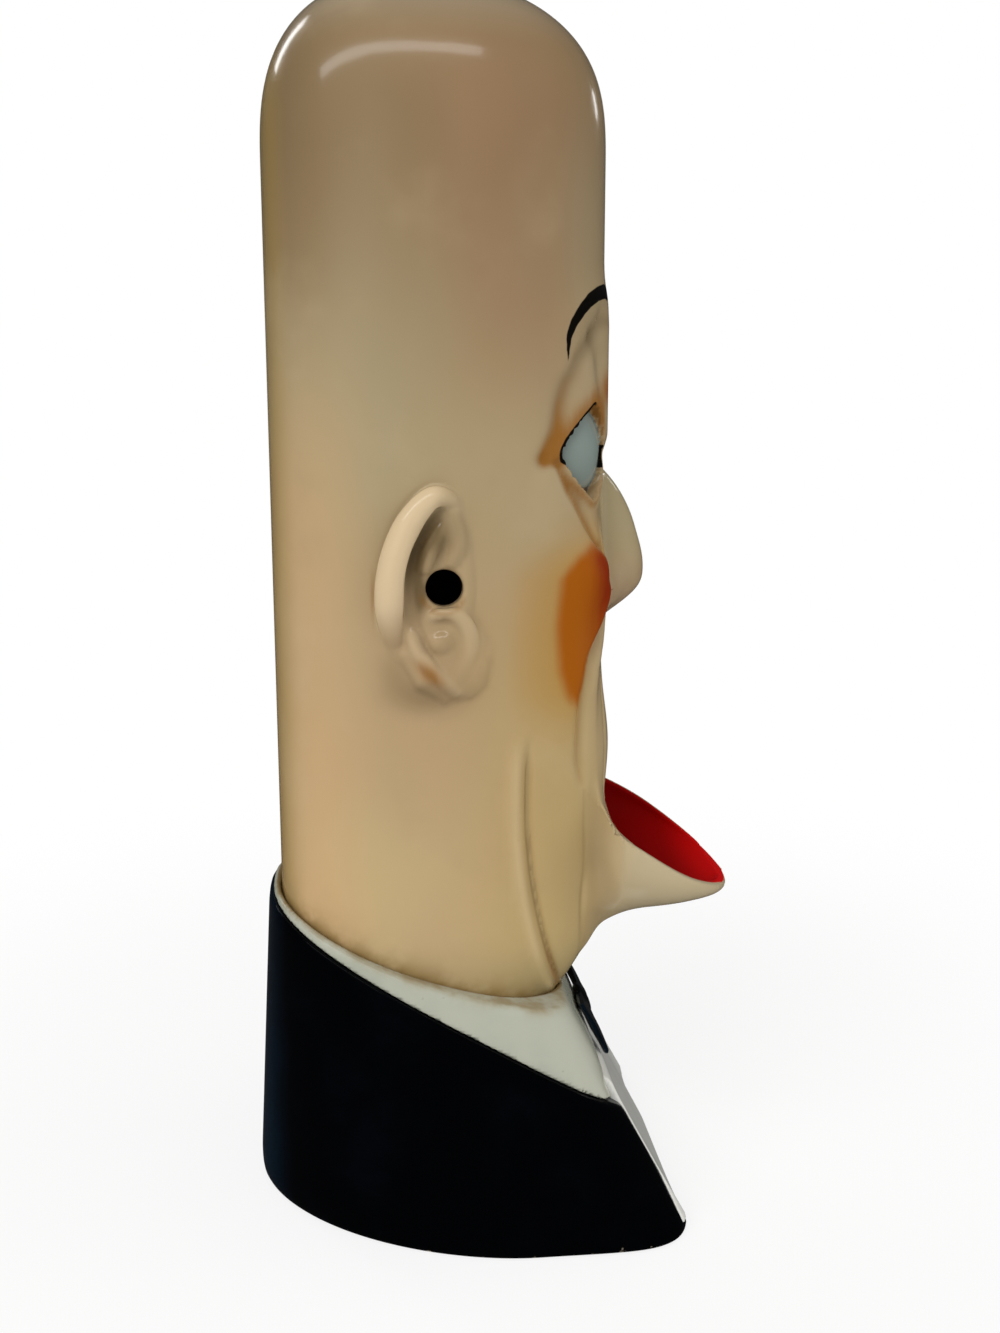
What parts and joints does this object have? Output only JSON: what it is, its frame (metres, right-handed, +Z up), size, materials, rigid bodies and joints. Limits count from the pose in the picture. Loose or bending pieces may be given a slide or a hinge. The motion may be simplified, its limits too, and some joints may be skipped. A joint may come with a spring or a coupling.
{
  "type": "porcelain figural vessel",
  "caption": "Tall bald comic head vessel in glazed porcelain: hollow skull, open scoop-lipped mouth, vented ears and ball nose, on a dark-coated bust with white collar, shirt and bow tie.",
  "frame": {"origin": "bottom centre of the vessel's bounding box, on the table", "axes": "+X the way the face looks, +Y the figure's left, +Z up"},
  "size_m": [0.0897, 0.075, 0.218],
  "materials": {
    "flesh_glaze": "flesh-coloured gloss glaze",
    "white_glaze": "off-white gloss glaze",
    "dark_glaze": "blue-black gloss glaze",
    "bare_clay": "unglazed bisque"
  },
  "bodies": {
    "root": {"head_casting": "flesh_glaze", "jaw_scoop": "flesh_glaze", "nose": "flesh_glaze", "ear_right": "flesh_glaze", "ear_left": "flesh_glaze", "collar": "white_glaze", "coat_casting": "dark_glaze", "shirt_front": "white_glaze", "bow_tie": "dark_glaze", "base_plate": "bare_clay"}
  },
  "joints": []
}
